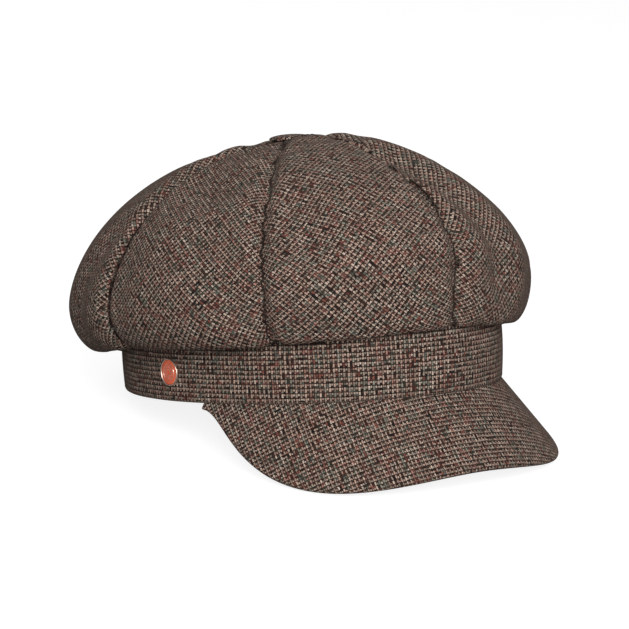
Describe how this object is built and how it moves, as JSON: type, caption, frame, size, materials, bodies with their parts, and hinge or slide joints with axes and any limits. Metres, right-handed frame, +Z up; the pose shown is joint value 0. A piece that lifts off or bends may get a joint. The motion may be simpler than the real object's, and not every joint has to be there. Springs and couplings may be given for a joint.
{
  "type": "newsboy cap",
  "caption": "Full, soft newsboy cap in coarse brown tweed: panelled crown over a stiff band, short arched visor, covered button on top and a small round badge.",
  "frame": {"origin": "middle of the footprint, on the table the cap rests on", "axes": "+X towards the wearer's left, -Y the way the visor points, +Z up; the cap stands as on a table, tipped back about 10 degrees so that the visor's edge and the rear of the band touch it"},
  "size_m": [0.214, 0.268, 0.1368],
  "materials": {
    "tweed": "coarse wool tweed, beige and dark brown yarns with rust and grey flecks, soft nap",
    "satin": "smooth satin lining with a soft sheen",
    "canvas": "stiff plain canvas",
    "ribbon": "fine ribbed ribbon",
    "label": "blank woven label",
    "board": "flexible visor board",
    "button_steel": "plain pressed steel",
    "thread": "strong sewing thread",
    "felt": "pressed felt",
    "gilt": "pale rose gilt, satin",
    "enamel": "orange-red enamel"
  },
  "bodies": {
    "cap": {"crown_front_left": "tweed", "crown_front_side_left": "tweed", "crown_rear_side_left": "tweed", "crown_rear_left": "tweed", "crown_rear_right": "tweed", "crown_rear_side_right": "tweed", "crown_front_side_right": "tweed", "crown_front_right": "tweed", "band_cover": "tweed", "lining_front_left": "satin", "lining_front_side_left": "satin", "lining_rear_side_left": "satin", "lining_rear_left": "satin", "lining_rear_right": "satin", "lining_rear_side_right": "satin", "lining_front_side_right": "satin", "lining_front_right": "satin", "band_interfacing": "canvas", "sweatband": "ribbon", "size_label": "label", "button_thread": "thread", "button_stay": "felt", "badge_base": "gilt", "badge_enamel": "enamel", "badge_washer": "button_steel"},
    "visor": {"visor_top_cover": "tweed", "visor_board": "board", "visor_under_cover": "tweed"},
    "button": {"button_cover": "tweed", "button_shell": "button_steel", "button_back": "button_steel"}
  },
  "joints": [
    {"name": "visor_tilt", "type": "hinge", "parent": "cap", "child": "visor", "pos_m": [0, -0.10235, 0.03815], "axis": [1, 0, 0], "range_deg": [-10, 8], "stiffness_Nm_per_rad": 0.6},
    {"name": "button_swivel", "type": "hinge", "parent": "cap", "child": "button", "pos_m": [0, 0.02689, 0.13265], "axis": [0, 0.1852, 0.9827], "range_deg": [-35, 35], "stiffness_Nm_per_rad": 0.002}
  ]
}
